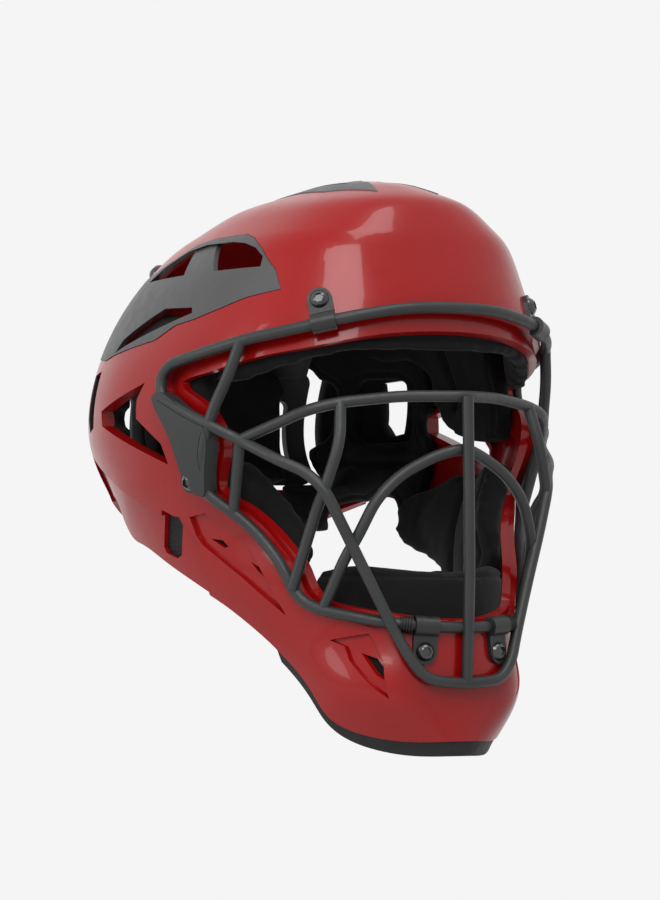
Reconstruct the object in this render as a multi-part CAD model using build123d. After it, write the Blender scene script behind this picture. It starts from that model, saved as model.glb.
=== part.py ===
"""Catcher's helmet: a moulded shell with a wire face cage, vent inserts, pads and a sprung rear panel.

Millimetres. X is the wearer's left, the face looks to -Y, Z is up. The origin is the centre of the
head space: on the mid-plane, over the ear line, at the height of the ear vents.
"""

import os
from functools import lru_cache
from math import copysign, cos, hypot, pi, sin, tan

from build123d import *

# Shell
SHELL_WIDTH = 224.0
BROW_REACH = 145.0
NAPE_REACH = 131.0
CROWN_HEIGHT = 130.0
CHIN_DROP = 168.0
WALL = 4.6

# Cuts and steps moulded into the shell
LIP_WIDTH = 9.0
LOW_LIP_WIDTH = 3.0
LIP_DEPTH = 4.0
PANEL_STEP = 2.2
RECESS = 2.4
EAR_WALL = 3.0
EAR_WALL_DEPTH = 8.0
INSERT_GAP = 0.25
INSERT_PROUD = 0.4
STRUT_DEPTH = 1.0
SLIT_LENGTH = 26.0
SLIT_WIDTH = 5.0
SLIT_SLANT = 12.0

# Wire face cage
WIRE = 6.0
WIRE_SEAT = 0.25
RUN_SHARE = 0.45
SEARCH_STEPS = 120

# Clips, screws and their nuts
STRAP_WIDTH = 12.8
STRAP_THICK = 2.0
STRAP_GAP = 0.2
SCREW_HEAD = 10.0
SCREW_DOME = 3.2
SCREW_SHANK = 4.8
NUT_BARREL = 6.8
NUT_FLANGE = 12.0
NUT_SEAT = 0.04
NUT_PLATE = 1.4
BORE_GAP = 0.3
CLIP_PLATE = 7.0
SLEEVE_WALL = 1.7
SLEEVE_LENGTH = 6.5
SLEEVE_GAP = 0.8
SLEEVE_RIBS = 4
SOCKET_SHARE = 0.26
SOCKET_FLOOR_SHARE = 0.45

# Rear bolts
BOLT_HEAD = 11.0
BOLT_DOME = 4.0

# Pads
PAD_GAP = 0.3
PAD_THICK = 15.0
JAW_PAD_THICK = 19.0
BROW_PAD_THICK = 12.0
CHIN_PAD_THICK = 17.0
PAD_TAPER = 4.0
PAD_CHANNEL = 2.5
PAD_CHANNEL_WIDTH = 5.0
PANEL_PAD_THICK = 26.0
CROWN_PAD_WIDTH = 96.0
CROWN_PAD_LENGTH = 120.0

# Rubber edge under the chin
TRIM_DROP = 7.5
TRIM_INSET = 0.8
TRIM_THICK = 6.0

# Strap behind each wing slot
WEB_THICK = 1.6
WEB_OVERLAP = 5.0

# Rear panel on its two studs
PANEL_TRAVEL = 8.0
PANEL_SET_BACK = 1.5
PANEL_THICK = 3.6
PANEL_WIDTH = 128.0
PANEL_TOP = 34.0
PANEL_BOTTOM = -31.0
PANEL_SPINE = 76.0
PANEL_POST = 8.0
PANEL_TOP_RAIL = 17.0
PANEL_LOW_RAIL = 12.0
WINDOW_SIDE_GAP = 8.5
WINDOW_END_GAP = 2.5
CORNER = 9.0
TAB_WIDTH = 26.0
TAB_RISE = 20.0
TAB_GAP = 1.0
TAB_WEB = 5.0
STUD = 5.0
STUD_HEAD = 8.5
STUD_HEAD_THICK = 2.4
STUD_SPREAD = 84.0

# Level sections of the shell, from the chin to the crown: height, half width, front reach, rear
# reach and widest place as shares, then the powers that square off its front and its rear
section_shares = [
    (-1.083, 0.482, 1.021, 0.168, -0.414, 2.9, 2.2),
    (-0.893, 0.536, 1.034, 0.305, -0.386, 2.9, 2.2),
    (-0.744, 0.616, 1.041, 0.458, -0.290, 2.5, 2.0),
    (-0.625, 0.732, 1.041, 0.580, -0.193, 2.0, 2.0),
    (-0.476, 0.830, 1.028, 0.687, -0.110, 1.9, 2.0),
    (-0.339, 0.893, 1.014, 0.771, -0.055, 1.8, 2.1),
    (-0.179, 0.960, 1.000, 0.893, -0.014, 2.1, 2.0),
    (0.000, 1.000, 0.993, 1.000, 0.000, 2.4, 2.0),
    (0.231, 0.978, 0.986, 0.954, -0.055, 2.4, 2.0),
    (0.462, 0.866, 0.959, 0.855, -0.152, 2.3, 2.1),
    (0.600, 0.777, 0.917, 0.748, -0.221, 2.4, 2.1),
    (0.708, 0.688, 0.876, 0.603, -0.276, 2.6, 2.1),
    (0.800, 0.571, 0.834, 0.397, -0.303, 2.6, 2.1),
    (0.869, 0.465, 0.793, 0.214, -0.331, 2.5, 2.1),
    (0.906, 0.365, 0.745, 0.031, -0.359, 2.3, 2.1),
    (0.940, 0.262, 0.662, -0.137, -0.379, 2.1, 2.0),
    (0.966, 0.150, 0.552, -0.275, -0.393, 2.0, 2.0),
    (0.978, 0.058, 0.460, -0.350, -0.400, 2.0, 2.0),
]
SECTION_POINTS = 20

# Outlines in side view, as shares of the front or rear reach and of the crown or chin height
lower_edge_shares = [
    (-1.034, -0.997), (-0.952, -0.997), (-0.862, -0.982), (-0.755, -0.935), (-0.680, -0.845),
    (-0.590, -0.752), (-0.507, -0.679), (-0.444, -0.632), (-0.374, -0.587), (-0.275, -0.539),
    (-0.187, -0.500), (-0.047, -0.443), (0.116, -0.390), (0.238, -0.359), (0.276, -0.318),
    (0.300, -0.265), (0.382, -0.226), (0.473, -0.238), (0.649, -0.315), (0.802, -0.369),
    (1.000, -0.399),
]
ear_vent_shares = [
    (-0.120, 0.150), (0.243, 0.045), (0.239, -0.012), (-0.229, -0.142),
    (-0.203, -0.076), (-0.136, -0.036), (-0.064, 0.007), (-0.072, 0.083),
]
rear_port_shares = [(0.335, 0.215), (0.480, 0.200), (0.500, 0.020), (0.460, -0.030), (0.375, -0.015)]
side_insert_shares = [
    (-0.672, 0.508), (-0.628, 0.592), (-0.538, 0.678), (-0.455, 0.728), (-0.379, 0.749),
    (-0.172, 0.742), (-0.062, 0.725), (0.050, 0.678), (0.229, 0.623), (0.473, 0.585),
    (0.656, 0.477), (0.702, 0.369), (0.611, 0.277), (0.313, 0.255), (0.214, 0.272),
    (-0.124, 0.322), (-0.228, 0.379), (-0.331, 0.400), (-0.448, 0.438), (-0.552, 0.479),
]
upper_pocket_shares = [
    (0.229, 0.581), (-0.566, 0.604), (-0.559, 0.646), (-0.503, 0.684), (-0.428, 0.707),
    (-0.345, 0.718), (-0.152, 0.716), (-0.028, 0.696), (0.122, 0.640),
]
lower_pocket_shares = [
    (0.198, 0.285), (0.153, 0.338), (-0.021, 0.415), (-0.110, 0.454), (-0.290, 0.450), (-0.303, 0.427),
]
strut_shares = [(-0.041, 0.760), (-0.172, 0.760), (-0.330, 0.570), (-0.110, 0.570)]
wing_panel_shares = [
    (0.500, -0.105), (0.281, -0.172), (-0.109, -0.297), (-0.227, -0.305),
    (-0.265, -0.357), (-0.292, -0.386), (-0.300, -0.660), (0.500, -0.660),
]
wing_slot_shares = [
    (-0.137, -0.281), (-0.200, -0.304), (-0.213, -0.330), (-0.170, -0.423),
    (-0.139, -0.434), (-0.075, -0.416), (-0.066, -0.398),
]
jaw_recess_shares = [
    (-0.275, -0.305), (-0.359, -0.294), (-0.494, -0.364), (-0.586, -0.513),
    (-0.634, -0.612), (-0.480, -0.495), (-0.312, -0.392), (-0.288, -0.363),
]
jaw_slit_shares = [
    [(-0.340, -0.373), (-0.391, -0.378), (-0.415, -0.398), (-0.395, -0.402)],
    [(-0.504, -0.444), (-0.547, -0.467), (-0.586, -0.513), (-0.531, -0.473)],
]
chin_recess_shares = [
    (-0.782, -0.686), (-0.833, -0.705), (-0.856, -0.750), (-0.975, -0.866),
    (-0.967, -0.801), (-0.957, -0.756), (-0.904, -0.665),
]
chin_slit_shares = [(-0.875, -0.725), (-0.925, -0.742), (-0.959, -0.784), (-0.971, -0.818), (-0.933, -0.795)]
side_clip_shares = [
    (-0.247, 0.097), (-0.266, 0.105), (-0.331, 0.086), (-0.410, 0.030),
    (-0.492, -0.025), (-0.458, -0.183), (-0.421, -0.245), (-0.371, -0.213),
    (-0.345, -0.154), (-0.328, -0.081), (-0.264, 0.026),
]


def side_point(share):
    """A side-view outline point (y, z) from its shares."""
    y_share, z_share = share
    y = y_share * (BROW_REACH if y_share < 0 else NAPE_REACH)
    return y, z_share * (CROWN_HEIGHT if z_share > 0 else CHIN_DROP)


def blend(places, values, at):
    """Smooth interpolation through a table, with its end slopes carried on."""
    k = max(i for i in range(len(places) - 1) if i == 0 or at >= places[i])
    span = places[k + 1] - places[k]
    t = (at - places[k]) / span

    def slope(i):
        a, b = max(i - 1, 0), min(i + 1, len(places) - 1)
        return (values[b] - values[a]) / (places[b] - places[a])

    if t < 0 or t > 1:
        end = k if t < 0 else k + 1
        return values[end] + slope(end) * (at - places[end])
    rise = values[k + 1] - values[k]
    bow_a, bow_b = slope(k) * span - rise, rise - slope(k + 1) * span
    return values[k] + t * rise + t * (1 - t) * ((1 - t) * bow_a + t * bow_b)


def moved_in(heights, places, depth):
    """Move a profile inward by a depth, square to itself."""
    moved_heights, moved_places = [], []
    for k in range(len(places)):
        a, b = max(k - 1, 0), min(k + 1, len(places) - 1)
        dz, dp = heights[b] - heights[a], places[b] - places[a]
        moved_heights.append(heights[k] + depth * dp / hypot(dz, dp))
        moved_places.append(places[k] - depth * dz / hypot(dz, dp))
    return moved_heights, moved_places


@lru_cache(maxsize=None)
def section_table(depth):
    """Heights of the level sections at a depth under the outer surface, and their measures."""
    heights = [side_point((0, row[0]))[1] for row in section_shares]
    halves = [row[1] * SHELL_WIDTH / 2 for row in section_shares]
    fronts = [row[2] * BROW_REACH for row in section_shares]
    rears = [row[3] * NAPE_REACH for row in section_shares]
    moved = [moved_in(heights, places, depth) for places in (halves, fronts, rears)]
    levels = [sum(m[0][k] for m in moved) / len(moved) for k in range(len(heights))]
    measures = [[blend(m[0], m[1], level) for level in levels] for m in moved]
    centres = [row[4] * BROW_REACH for row in section_shares]
    front_powers = [row[5] for row in section_shares]
    rear_powers = [row[6] for row in section_shares]
    return levels, (*measures, centres, front_powers, rear_powers)


@lru_cache(maxsize=None)
def layer(shallow, deep):
    """The space between two depths under the outer surface."""
    return skin(shallow) - skin(deep)


@lru_cache(maxsize=None)
def left_layer(shallow, deep):
    return left_half(layer(shallow, deep))


def between(block, shallow, deep):
    """The part of a block that lies between two depths under the outer surface."""
    return (block & skin(shallow)) - skin(deep)


def level_section(z, depth=0.0):
    """Half width, front reach, rear reach, widest place and powers of the surface at a height."""
    levels, measures = section_table(depth)
    return [blend(levels, values, z) for values in measures]


def section_point(measures, z, angle):
    """A point of a level section: the angle runs from the rear over the wearer's left."""
    half, front, rear, centre, front_power, rear_power = measures
    ahead = cos(angle) < 0
    power = front_power if ahead else rear_power
    reach = front + centre if ahead else rear - centre
    x = half * copysign(abs(sin(angle)) ** (2 / power), sin(angle))
    y = centre + reach * copysign(abs(cos(angle)) ** (2 / power), cos(angle))
    return Vector(x, y, z)


@lru_cache(maxsize=None)
def skin(depth):
    """The solid inside the shell's outer surface, moved inward by a depth."""
    levels, measures = section_table(depth)
    shares = [i / SECTION_POINTS for i in range(SECTION_POINTS + 1)]
    wires = []
    for k, z in enumerate(levels):
        row = [values[k] for values in measures]
        points = [section_point(row, z, 2 * pi * share) for share in shares[:-1]]
        wires.append(Wire([Edge.make_spline(points, parameters=shares, periodic=True)]))
    return Solid.make_loft(wires)


def seat(place, depth=0.0):
    """Carry a place level outward, from its section's centre line, onto the surface."""
    x, y, z = place
    half, front, rear, centre, front_power, rear_power = level_section(z, depth)
    power = front_power if y < centre else rear_power
    reach = front + centre if y < centre else rear - centre
    size = ((abs(x) / half) ** power + (abs(y - centre) / reach) ** power) ** (1 / power)
    return Vector(x / size, centre + (y - centre) / size, z)


def outward(place):
    """Unit direction square to the surface at a place on it."""
    probe = WALL

    def level(point):
        half, front, rear, centre, front_power, rear_power = level_section(point.Z)
        power = front_power if point.Y < centre else rear_power
        reach = front + centre if point.Y < centre else rear - centre
        return (abs(point.X) / half) ** power + (abs(point.Y - centre) / reach) ** power

    steps = [Vector(probe, 0, 0), Vector(0, probe, 0), Vector(0, 0, probe)]
    return Vector(*[level(place + s) - level(place - s) for s in steps]).normalized()


def side_prism(points):
    """An outline in side view, run from the mid-plane out over the wearer's left."""
    return extrude(make_face(Plane.YZ * Polyline(*points, close=True)), SHELL_WIDTH, dir=(1, 0, 0))


def outline(shares):
    return [side_point(share) for share in shares]


def cut_by(solid, tools):
    """Cut by one tool at a time, which is far quicker than by all at once."""
    for tool in tools:
        solid -= tool
    return solid


def left_half(solid):
    """What lies on the wearer's left of the mid-plane."""
    size = 2 * SHELL_WIDTH
    return solid & Pos(size, 0, 0) * Box(2 * size, 2 * size, 2 * size)


def pair(name, left):
    """A piece on the wearer's left, and its mirror image on the right."""
    return {f"{name}_left": left, f"{name}_right": mirror(left, about=Plane.YZ)}


# Cage and screw places: half width, front reach and crown or chin height shares
rim_shares = [
    (0.000, -0.987, 0.436), (0.152, -0.979, 0.434), (0.282, -0.960, 0.426), (0.432, -0.919, 0.405),
    (0.565, -0.863, 0.380), (0.721, -0.764, 0.341), (0.830, -0.643, 0.312), (0.909, -0.525, 0.278),
    (0.966, -0.393, 0.242), (0.993, -0.300, 0.218), (1.008, -0.255, 0.171), (1.014, -0.257, 0.104),
    (0.985, -0.300, 0.050), (0.970, -0.415, -0.020), (0.942, -0.472, -0.057), (0.919, -0.441, -0.143),
    (0.891, -0.411, -0.229), (0.847, -0.461, -0.267), (0.795, -0.522, -0.307), (0.736, -0.574, -0.359),
    (0.699, -0.628, -0.416), (0.670, -0.666, -0.467), (0.641, -0.692, -0.530), (0.609, -0.726, -0.570),
    (0.555, -0.783, -0.595), (0.474, -0.868, -0.612), (0.382, -0.939, -0.629), (0.240, -0.992, -0.641),
    (0.000, -1.041, -0.649),
]
hoop_shares = [
    (0.000, -1.062, -0.820), (0.176, -1.055, -0.809), (0.235, -1.042, -0.786), (0.283, -1.030, -0.743),
    (0.334, -1.000, -0.670), (0.430, -0.958, -0.523), (0.548, -0.913, -0.345), (0.613, -0.883, -0.242),
    (0.641, -0.862, -0.208), (0.682, -0.814, -0.169), (0.769, -0.735, -0.132), (0.847, -0.586, -0.071),
    (0.960, -0.500, -0.020), (1.004, -0.385, 0.033), (1.022, -0.270, 0.084),
]
eye_arc_shares = [
    (0.000, -1.055, 0.080), (0.120, -1.010, 0.081), (0.270, -0.955, 0.080), (0.527, -0.865, 0.055),
    (0.662, -0.810, 0.025), (0.763, -0.697, -0.029), (0.847, -0.586, -0.071),
]
nose_arch_shares = [
    (0.000, -1.050, -0.096), (0.127, -1.015, -0.120), (0.293, -0.985, -0.177), (0.410, -0.961, -0.253),
    (0.486, -0.929, -0.370), (0.517, -0.883, -0.434), (0.555, -0.784, -0.592),
]
centre_bar_shares = [(0.000, -1.072, 0.080), (0.000, -1.083, -0.500), (0.000, -1.062, -0.815)]
side_bar_shares = [
    [(0.860, -0.610, 0.303), (0.897, -0.575, 0.168), (0.930, -0.522, 0.048), (0.950, -0.494, -0.033),
     (0.948, -0.466, -0.099), (0.896, -0.414, -0.229)],
    [(0.847, -0.586, -0.071), (0.812, -0.504, -0.295)],
    [(0.527, -0.865, 0.055), (0.560, -0.903, -0.079), (0.622, -0.876, -0.226), (0.610, -0.814, -0.279),
     (0.653, -0.702, -0.529)],
]
top_screw_shares = (0.582, -0.798, 0.461)
chin_screw_shares = (0.200, -1.022, -0.722)
side_screw_shares = (0.930, -0.345, -0.195)
bolt_shares = (0.500, 0.540, 0.640)

# Crown insert seen from above: half width and front reach shares
crown_insert_shares = [
    (-0.010, -0.330), (0.170, -0.690), (0.245, -0.590), (0.305, -0.490), (0.300, -0.250), (0.270, -0.060),
    (0.150, 0.080), (-0.010, 0.100),
]
crown_slit_shares = (0.190, -0.400)

# Side cushions in side view: outline, thickness and sewn channels
temple_pad_shares = [
    (-0.350, 0.340), (-0.370, 0.180), (-0.385, -0.030), (-0.200, -0.060), (0.000, -0.020),
    (0.080, 0.030), (0.110, 0.120), (0.110, 0.200), (0.200, 0.270), (0.380, 0.280),
    (0.350, 0.400), (0.100, 0.460), (-0.150, 0.430),
]
jaw_pad_shares = [
    (-0.330, -0.150), (-0.480, -0.130), (-0.560, -0.230), (-0.640, -0.320), (-0.690, -0.400),
    (-0.690, -0.440), (-0.625, -0.500), (-0.610, -0.580), (-0.520, -0.610), (-0.430, -0.580),
    (-0.250, -0.520), (-0.050, -0.440), (0.150, -0.370), (0.200, -0.250), (0.000, -0.180),
    (-0.170, -0.150),
]
rear_pad_shares = [
    (0.500, 0.420), (0.510, 0.200), (0.500, -0.050), (0.360, -0.050), (0.300, -0.120),
    (0.400, -0.200), (0.600, -0.270), (0.760, -0.320), (0.820, -0.200), (0.790, 0.100),
    (0.760, 0.400),
]


def place(shares):
    """A point in space from its shares."""
    x_share, y_share, z_share = shares
    return Vector(x_share * SHELL_WIDTH / 2, *side_point((y_share, z_share)))


def across(point):
    """A point's place on the other side of the mid-plane."""
    return Vector(-point.X, point.Y, point.Z)


def mirrored(points):
    """A half route from the mid-plane, continued over to the other side."""
    return [across(point) for point in reversed(points[1:])] + list(points)


def bent_path(points, closed=False):
    """Straight runs joined by tangent arcs, each as large as its runs allow."""
    count = len(points)
    inner = range(count) if closed else range(1, count - 1)
    ends = {}
    for i in inner:
        before, here, after = points[i - 1], points[i], points[(i + 1) % count]
        ahead, back = (here - before).normalized(), (after - here).normalized()
        half_turn = ahead.get_angle(back) * pi / 360
        reach = RUN_SHARE * min((here - before).length, (after - here).length)
        toward = (back - ahead).normalized()
        middle = here + toward * (reach / tan(half_turn)) * (1 / cos(half_turn) - 1)
        ends[i] = (here - ahead * reach, middle, here + back * reach)
    edges = []
    last = ends[count - 1][2] if closed else points[0]
    for i in (range(count) if closed else range(1, count)):
        if i in ends:
            start, middle, stop = ends[i]
            edges += [Edge.make_line(last, start), Edge.make_three_point_arc(start, middle, stop)]
            last = stop
        else:
            edges.append(Edge.make_line(last, points[i]))
    return Wire(edges)


def tube(path, diameter):
    """Round wire along a path."""
    start = Plane(origin=path.position_at(0), z_dir=path.tangent_at(0))
    return Solid.sweep(Wire.make_circle(diameter / 2, start), path)


brow_pad_shares = [
    (-1.100, 0.425), (-1.100, 0.275), (-0.900, 0.265), (-0.720, 0.225), (-0.520, 0.145),
    (-0.430, 0.155), (-0.430, 0.255), (-0.600, 0.355), (-0.780, 0.425),
]
chin_pad_shares = [
    (-1.100, -0.480), (-0.860, -0.465), (-0.740, -0.460), (-0.670, -0.520),
    (-0.665, -0.620), (-0.710, -0.760), (-0.840, -0.850), (-1.100, -0.860),
]
trim_end_shares = (-0.545, -0.700)
front_pads = {
    "brow_pad": (brow_pad_shares, BROW_PAD_THICK),
    "chin_pad": (chin_pad_shares, CHIN_PAD_THICK),
}
side_pads = {
    "temple_pad": (temple_pad_shares, PAD_THICK, [((-0.070, 0.080), (-0.070, 0.480))]),
    "jaw_pad": (jaw_pad_shares, JAW_PAD_THICK, [((-0.230, -0.120), (-0.330, -0.620))]),
    "rear_pad": (rear_pad_shares, PAD_THICK, [((0.200, -0.110), (0.900, -0.110))]),
}

# Shared measures of the rim, which the lip, the opening and the clips follow
RIM_DEPTH = -(WIRE / 2 + WIRE_SEAT)
half_rim = [seat(place(shares), RIM_DEPTH) for shares in rim_shares]
rim_outline = [(p.Y, p.Z) for p in half_rim]
SIDES = {"left": 1, "right": -1}


def offset_outline(points, distance):
    """Move an open or closed outline sideways, to its left as its points run."""
    closed = points[0] == points[-1]
    moved = []
    for i, (y, z) in enumerate(points):
        a = points[i - 1] if i else (points[-2] if closed else points[0])
        b = points[i + 1] if i + 1 < len(points) else (points[1] if closed else points[-1])
        size = hypot(b[0] - a[0], b[1] - a[1])
        moved.append((y - distance * (b[1] - a[1]) / size, z + distance * (b[0] - a[0]) / size))
    return moved


def ring_outline(points, distance):
    return offset_outline(list(points) + [points[0]], distance)[:-1]


def curved_prism(points, far):
    """A smooth open outline in side view, closed far outside the helmet and run across it."""
    curve = Plane.YZ * Spline(*points)
    closing = Plane.YZ * Polyline(points[-1], *far, points[0])
    return extrude(make_face(curve + closing), SHELL_WIDTH, both=True)


def smooth_prism(points):
    """A smooth closed outline in side view, run across the helmet."""
    edge = Edge.make_spline([Vector(0, y, z) for y, z in points], periodic=True)
    return extrude(Face(Wire([edge])), SHELL_WIDTH, both=True)


def rear_prism(width, bottom, top, corner, start=NAPE_REACH / 2):
    """A rounded rectangle seen from behind, run out through the rear of the shell."""
    sketch = Plane.XZ * Pos(0, (top + bottom) / 2) * RectangleRounded(width, top - bottom, corner)
    return Pos(0, start, 0) * extrude(sketch, -NAPE_REACH)


def face_prism(inset, low_inset=None):
    """Everything in front of the face rim, moved into the opening by an inset, or by another one below."""
    points = offset_outline(rim_outline, -inset)
    if low_inset is not None:
        low_points = offset_outline(rim_outline, -low_inset)
        points = [high if high[1] > 0 else low for high, low in zip(points, low_points)]
    front = -2 * BROW_REACH
    points[0] = (points[0][0], rim_outline[0][1] - inset)
    points[-1] = (points[-1][0], rim_outline[-1][1] + inset)
    return curved_prism(points, [(front, points[-1][1]), (front, points[0][1])])


def under_edge(drop=0.0):
    """Everything below the shell's lower edge, moved down by a drop."""
    points = [(y, z - drop) for y, z in outline(lower_edge_shares)]
    deep, front, rear = -2 * CHIN_DROP, -2 * BROW_REACH, 2 * NAPE_REACH
    far = [(rear, points[-1][1]), (rear, deep), (front, deep), (front, points[0][1])]
    return curved_prism(points, far)


def tangent_plane(at, toward):
    """Plane on the surface at a place: its x runs across, its y toward another place."""
    normal = outward(at)
    y_dir = toward - at
    y_dir = (y_dir - normal * y_dir.dot(normal)).normalized()
    return Plane(origin=at, x_dir=y_dir.cross(normal), z_dir=normal)


def nearest_on(path, at):
    """The place on a path nearest to a point, and the path's direction there."""
    best, span = 0.5, 1.0
    for _ in range(3):
        shares = [(best + span * (k / SEARCH_STEPS - 0.5)) % 1 for k in range(SEARCH_STEPS)]
        best = min(shares, key=lambda share: (path.position_at(share) - at).length)
        span = 4 * span / SEARCH_STEPS
    return path.position_at(best), path.tangent_at(best)


def rod(diameter, bottom, top):
    """A round bar along Z between two heights."""
    return Pos(0, 0, (bottom + top) / 2) * Cylinder(diameter / 2, top - bottom)


def dome(diameter, height):
    """A shallow spherical cap that stands on the XY plane."""
    radius = diameter / 2
    ball = (radius**2 + height**2) / (2 * height)
    return Pos(0, 0, height - ball) * Sphere(ball) & rod(diameter, 0, height)


def screw_planes(shares, rim_path):
    """The seat of a screw on each side, with its y toward the rim wire."""
    planes = {}
    for name, side in SIDES.items():
        at = seat(place(shares))
        at = at if side > 0 else across(at)
        planes[name] = tangent_plane(at, nearest_on(rim_path, at)[0])
    return planes


rim_path = bent_path(mirrored(half_rim)[:-1], closed=True)
screw_seats = {
    "top": screw_planes(top_screw_shares, rim_path),
    "side": screw_planes(side_screw_shares, rim_path),
    "chin": screw_planes(chin_screw_shares, rim_path),
}
bolt_seats = screw_planes(bolt_shares, rim_path)

window_half = PANEL_WIDTH / 2 + WINDOW_SIDE_GAP
stud_places = {name: (side * STUD_SPREAD / 2, PANEL_TOP + TAB_RISE / 2) for name, side in SIDES.items()}


def rear_y(x, z, depth=0.0):
    """How far back the surface reaches at a place seen from behind."""
    half, front, rear, centre, front_power, rear_power = level_section(z, depth)
    return centre + (rear - centre) * max(1 - (abs(x) / half) ** rear_power, 0) ** (1 / rear_power)


head_edge = (STUD_SPREAD - STUD_HEAD) / 2, PANEL_TOP + (TAB_RISE - STUD_HEAD) / 2
stud_face = rear_y(*head_edge) + BORE_GAP
tab_depth = WALL + PANEL_TRAVEL + TAB_GAP


def behind(x, z, start, stop, diameter):
    """A round bar along Y."""
    return Pos(x, (start + stop) / 2, z) * Rot(90, 0, 0) * Cylinder(diameter / 2, stop - start)


def crown_outline(side, inset=0.0):
    """The crown insert seen from above: two prongs that point forward, joined at the rear."""
    points = [(x * side * SHELL_WIDTH / 2, y * BROW_REACH) for x, y in crown_insert_shares]
    return [(x, y) for x, y in ring_outline(points, inset * side)]


def crown_prism(inset=0.0):
    """The crown insert's outline, run up through the top of the shell."""
    half = Polyline(*crown_outline(1, inset), close=True)
    both = make_face(half) + make_face(Polyline(*crown_outline(-1, inset), close=True))
    return Pos(0, 0, CROWN_HEIGHT / 2) * extrude(both, CROWN_HEIGHT)


def crown_slit(side):
    """The slanted vent slit in one prong, run down through the shell."""
    slit = Pos(0, 0, CROWN_HEIGHT / 2) * extrude(SlotOverall(SLIT_LENGTH, SLIT_WIDTH), CROWN_HEIGHT)
    x, y = side * crown_slit_shares[0] * SHELL_WIDTH / 2, crown_slit_shares[1] * BROW_REACH
    return Pos(x, y, 0) * Rot(0, 0, 90 - side * SLIT_SLANT) * slit


def screw_bores(diameter):
    """Round holes through the shell at the screw and bolt seats on the wearer's left."""
    tool = rod(diameter, -3 * WALL, 3 * WALL)
    return [group["left"] * tool for group in (*screw_seats.values(), bolt_seats)]


def make_shell():
    """The moulded shell: skin, joggled lip, vents, stepped panels, slots and screw holes.

    The wearer's left is made, and its mirror image joined on."""
    vent = outline(ear_vent_shares)
    x, z = stud_places["left"]
    lip = left_layer(LIP_DEPTH, LIP_DEPTH + WALL) & face_prism(-WALL)
    ear_wall = left_layer(WALL / 2, EAR_WALL_DEPTH) & side_prism(ring_outline(vent, EAR_WALL))
    boss = behind(x, z, stud_face - 2 * STUD, stud_face, STUD_HEAD + BORE_GAP) - skin(WALL / 2)
    shell = left_layer(0.0, WALL) - face_prism(0.0)
    shell = shell.fuse(lip - face_prism(LIP_WIDTH, LOW_LIP_WIDTH), ear_wall, boss) - under_edge()
    shell -= rear_prism(2 * window_half, PANEL_BOTTOM - WINDOW_END_GAP, PANEL_TOP + WINDOW_END_GAP, CORNER)
    recesses = [side_prism(outline(side_insert_shares)), crown_prism(),
                side_prism(outline(jaw_recess_shares)), side_prism(outline(chin_recess_shares))]
    shell = cut_by(shell, [recess - skin(RECESS) for recess in recesses])
    shell -= side_prism(outline(wing_panel_shares)) - skin(PANEL_STEP)
    holes = [vent] + [outline(shares) for shares in (
        rear_port_shares, upper_pocket_shares, lower_pocket_shares, wing_slot_shares, chin_slit_shares,
        *jaw_slit_shares)]
    stud_hole = behind(x, z, 0, 2 * NAPE_REACH, STUD + 2 * BORE_GAP)
    bores = screw_bores(NUT_BARREL + BORE_GAP)
    shell = cut_by(shell, [*[side_prism(points) for points in holes], crown_slit(1), *bores, stud_hole])
    shell = cut_by(shell, seat_clearance())
    return shell.fuse(mirror(shell, about=Plane.YZ), glue=True)


def make_side_inserts():
    """The vented grey insert on each side, in its recess."""
    insert = side_prism(ring_outline(outline(side_insert_shares), -INSERT_GAP))
    insert &= left_layer(-INSERT_PROUD, RECESS)
    insert = cut_by(insert, [side_prism(outline(shares)) for shares in (upper_pocket_shares, lower_pocket_shares)])
    strut = side_prism(outline(upper_pocket_shares)) & side_prism(outline(strut_shares))
    insert += strut & left_layer(STRUT_DEPTH, STRUT_DEPTH + WALL / 2)
    insert -= bolt_seats["left"] * rod(NUT_BARREL + BORE_GAP, -WALL, WALL)
    return pair("side_vent_insert", insert)


def make_crown_insert():
    insert = layer(-INSERT_PROUD, RECESS) & crown_prism(INSERT_GAP)
    insert -= [crown_slit(side) for side in SIDES.values()]
    return {"crown_vent_insert": insert}


@lru_cache(maxsize=None)
def side_bars(side):
    """The centre lines of one side's bars."""
    bars = [[place((side * x, y, z)) for x, y, z in bar] for bar in side_bar_shares]
    return [bent_path(points) for points in bars]


@lru_cache(maxsize=None)
def cross_wires():
    """The centre lines of the hoop, the eye arc, the nose arch and the centre bar."""
    arcs = [mirrored([place(shares) for shares in table])
            for table in (hoop_shares, eye_arc_shares, nose_arch_shares)]
    return [bent_path(points) for points in (*arcs, [place(shares) for shares in centre_bar_shares])]


def make_cage():
    """Every wire of the cage, welded into one frame."""
    bars = [path for side in SIDES.values() for path in side_bars(side)]
    tubes = [tube(path, WIRE) for path in (rim_path, *cross_wires(), *bars)]
    return tubes[0].fuse(*tubes[1:])


@lru_cache(maxsize=None)
def seat_clearance():
    """The rim and the hoop where they lie on the shell's left half, enlarged by the clip's gap."""
    left_rim = bent_path([across(half_rim[1]), *half_rim, across(half_rim[-2])])
    return [tube(path, WIRE + 2 * STRAP_GAP) for path in (left_rim, cross_wires()[0])]


def strap_clip(plane, path):
    """A strap screwed to the shell and bent over the rim wire."""
    wire_at, along = nearest_on(path, plane.origin)
    centre = plane.to_local_coords(wire_at)
    plate = rod(STRAP_WIDTH, -WALL / 2, STRAP_THICK)
    length = centre.Y
    plate += Pos(0, length / 2, (STRAP_THICK - WALL / 2) / 2) * Box(STRAP_WIDTH, length, STRAP_THICK + WALL / 2)
    plate -= rod(SCREW_SHANK + 2 * STRAP_GAP, -WALL, WALL)
    loop_plane = Plane(origin=wire_at, z_dir=along)
    loop = loop_plane * Cylinder(WIRE / 2 + STRAP_GAP + STRAP_THICK, STRAP_WIDTH)
    return (plane * plate + loop) - skin(0.0) - seat_clearance()[0]


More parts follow.
